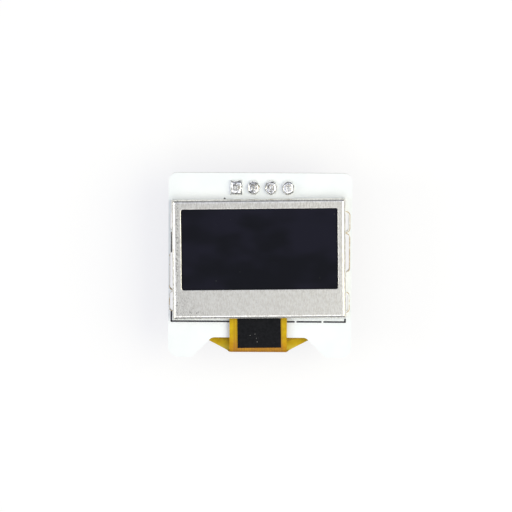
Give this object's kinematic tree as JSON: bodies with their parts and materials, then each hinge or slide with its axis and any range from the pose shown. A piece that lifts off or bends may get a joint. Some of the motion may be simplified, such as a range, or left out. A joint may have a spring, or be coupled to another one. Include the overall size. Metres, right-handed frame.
{
  "type": "small oled display module",
  "caption": "Small graphic display module: white board, folded metal bezel round a black panel, flexible ribbon folded over the lower edge, and a pin header behind.",
  "frame": {"origin": "middle of the header housing's seating face, on the pins' row", "axes": "+Z out of the display, +Y towards the header's edge of the board, +X to the right seen from the front"},
  "size_m": [0.027, 0.0272, 0.0117],
  "materials": {
    "board_white": "satin",
    "bezel_steel": "satin",
    "panel_glass": "polished",
    "polarizer_black": "gloss",
    "chip_dark": "gloss",
    "foam_grey": "matte",
    "ribbon_amber": "gloss",
    "tape_black": "matte",
    "header_black": "satin",
    "pin_gold": "polished",
    "solder_tin": "polished",
    "case_black": "matte",
    "lead_tin": "satin",
    "resistor_dark": "satin",
    "capacitor_tan": "satin"
  },
  "bodies": {
    "root": {"circuit_board": "board_white", "metal_bezel": "bezel_steel", "foam_pad": "foam_grey", "encapsulation_glass": "panel_glass", "substrate_glass": "panel_glass", "polarizer_film": "polarizer_black", "driver_chip": "chip_dark", "flex_ribbon": "ribbon_amber", "ribbon_shield_patch": "tape_black", "ribbon_solder_joints": "solder_tin", "header_housing": "header_black", "regulator_case": "case_black", "regulator_leads": "lead_tin", "diode_case": "case_black", "diode_leads": "lead_tin", "component_solder": "solder_tin", "header_pin_1": "pin_gold", "solder_joint_1": "solder_tin", "header_pin_2": "pin_gold", "solder_joint_2": "solder_tin", "header_pin_3": "pin_gold", "solder_joint_3": "solder_tin", "header_pin_4": "pin_gold", "solder_joint_4": "solder_tin", "resistor_1": "resistor_dark", "capacitor_1": "capacitor_tan", "resistor_2": "resistor_dark", "capacitor_2": "capacitor_tan", "resistor_3": "resistor_dark", "capacitor_3": "capacitor_tan", "resistor_4": "resistor_dark", "capacitor_4": "capacitor_tan", "resistor_5": "resistor_dark", "capacitor_5": "capacitor_tan", "resistor_6": "resistor_dark", "capacitor_6": "capacitor_tan", "resistor_7": "resistor_dark", "capacitor_7": "capacitor_tan"}
  },
  "joints": []
}
